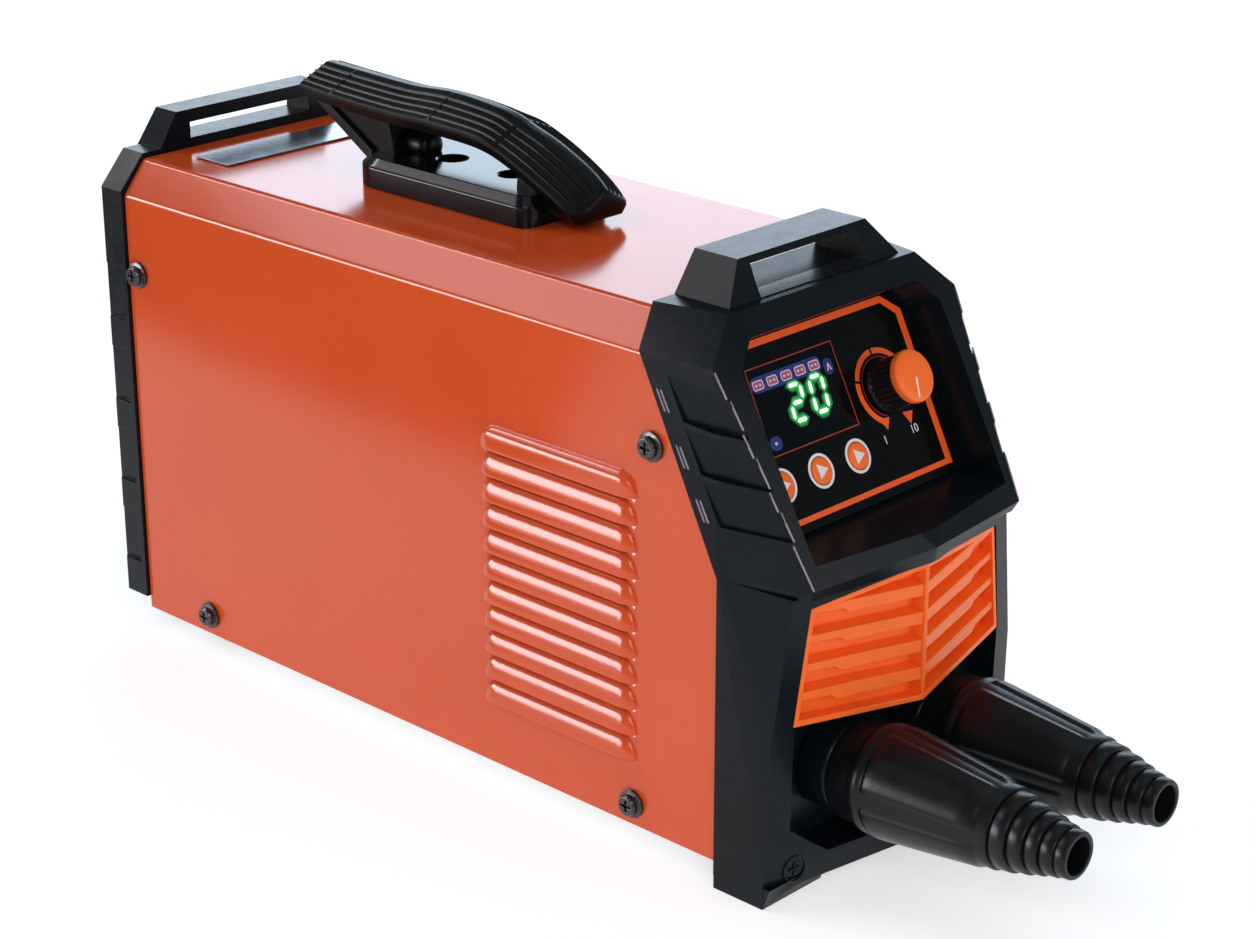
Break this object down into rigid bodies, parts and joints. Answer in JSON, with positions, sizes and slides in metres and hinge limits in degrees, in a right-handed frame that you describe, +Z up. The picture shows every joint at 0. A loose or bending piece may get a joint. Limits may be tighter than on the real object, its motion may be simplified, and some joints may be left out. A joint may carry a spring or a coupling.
{
  "type": "stick welding inverter",
  "caption": "Portable stick welding inverter: orange steel case between black bezels, carrying handle, sloping control panel, grille and twist-lock output plugs.",
  "frame": {"origin": "on the floor, under the middle of the whole object with its plugs and inlet gland", "axes": "+Z up, front panel faces -Y, +X is the right of someone facing the front panel"},
  "size_m": [0.1348, 0.4534, 0.2306],
  "materials": {
    "orange_paint": "gloss powder coat with fine orange peel",
    "black_plastic": "fine moulded grain, satin",
    "orange_plastic": "satin moulded",
    "panel_film": "glossy printed film",
    "display_lens": "dark tinted lens with lit digits behind it",
    "rubber": "satin moulded rubber",
    "brass": "turned",
    "dark_steel": "dark plated",
    "zinc": "zinc plated",
    "silver_film": "glossy silver film, blank",
    "board": "solder mask",
    "aluminium": "extruded",
    "copper": "enamelled copper",
    "dark_plastic": "dark moulded",
    "capacitor": "shrink sleeve"
  },
  "bodies": {
    "case": {"cover": "orange_paint", "base_pan": "zinc", "front_bezel": "black_plastic", "rear_bezel": "black_plastic", "front_grille": "orange_plastic", "panel_plate": "panel_film", "display_lens": "display_lens", "display_module": "dark_plastic", "control_board": "board", "potentiometer": "dark_steel", "handle": "black_plastic", "handle_screw_front": "zinc", "handle_screw_rear": "zinc", "top_plate": "silver_film", "fan_frame": "dark_plastic", "fan_guard": "black_plastic", "switch_housing": "black_plastic", "gland_body": "dark_plastic", "gland_nut": "black_plastic", "earth_stud": "brass", "main_board": "board", "heatsink_left": "aluminium", "heatsink_right": "aluminium", "transformer": "dark_plastic", "output_choke": "copper", "capacitor_1": "capacitor", "capacitor_2": "capacitor", "capacitor_3": "capacitor", "rectifier": "dark_plastic", "rear_foot_left": "rubber", "rear_foot_right": "rubber", "socket_body_minus": "black_plastic", "socket_insert_minus": "brass", "busbar_minus": "copper", "socket_body_plus": "black_plastic", "socket_insert_plus": "brass", "busbar_plus": "copper", "screw_left_front_upper": "dark_steel", "screw_left_rear_upper": "dark_steel", "screw_left_front_lower": "dark_steel", "screw_left_rear_lower": "dark_steel", "screw_right_front_upper": "dark_steel", "screw_right_rear_upper": "dark_steel", "screw_right_front_lower": "dark_steel", "screw_right_rear_lower": "dark_steel"},
    "knob": {"knob": "black_plastic", "knob_cap": "orange_plastic", "pot_shaft": "zinc"},
    "button_left": {"button_left": "orange_plastic"},
    "button_middle": {"button_middle": "orange_plastic"},
    "button_right": {"button_right": "orange_plastic"},
    "rocker": {"switch_rocker": "black_plastic"},
    "fan": {"fan_rotor": "dark_plastic"},
    "plug_minus": {"plug_sleeve_minus": "rubber", "plug_pin_minus": "brass"},
    "plug_plus": {"plug_sleeve_plus": "rubber", "plug_pin_plus": "brass"}
  },
  "joints": [
    {"name": "knob_turn", "type": "hinge", "parent": "case", "child": "knob", "pos_m": [0.0248, -0.1112, 0.15826], "axis": [0, 0.8788, -0.4772], "range_deg": [0, 300]},
    {"name": "button_left_press", "type": "slide", "parent": "case", "child": "button_left", "axis": [0, 0.8788, -0.4772], "range_m": [0, 0.0008], "stiffness_N_per_m": 1500},
    {"name": "button_middle_press", "type": "slide", "parent": "case", "child": "button_middle", "axis": [0, 0.8788, -0.4772], "range_m": [0, 0.0008], "stiffness_N_per_m": 1500},
    {"name": "button_right_press", "type": "slide", "parent": "case", "child": "button_right", "axis": [0, 0.8788, -0.4772], "range_m": [0, 0.0008], "stiffness_N_per_m": 1500},
    {"name": "rocker_tilt", "type": "hinge", "parent": "case", "child": "rocker", "pos_m": [-0.026, 0.2138, 0.15], "axis": [1, 0, 0], "range_deg": [-16, 0]},
    {"name": "fan_spin", "type": "hinge", "parent": "case", "child": "fan", "pos_m": [0, 0.195, 0.07], "axis": [0, 1, 0], "continuous": true},
    {"name": "plug_minus_turn", "type": "hinge", "parent": "case", "child": "plug_minus", "pos_m": [-0.0242, -0.15, 0.0402], "axis": [0, -1, 0], "range_deg": [0, 90]},
    {"name": "plug_plus_turn", "type": "hinge", "parent": "case", "child": "plug_plus", "pos_m": [0.0242, -0.15, 0.0402], "axis": [0, -1, 0], "range_deg": [0, 90]}
  ]
}
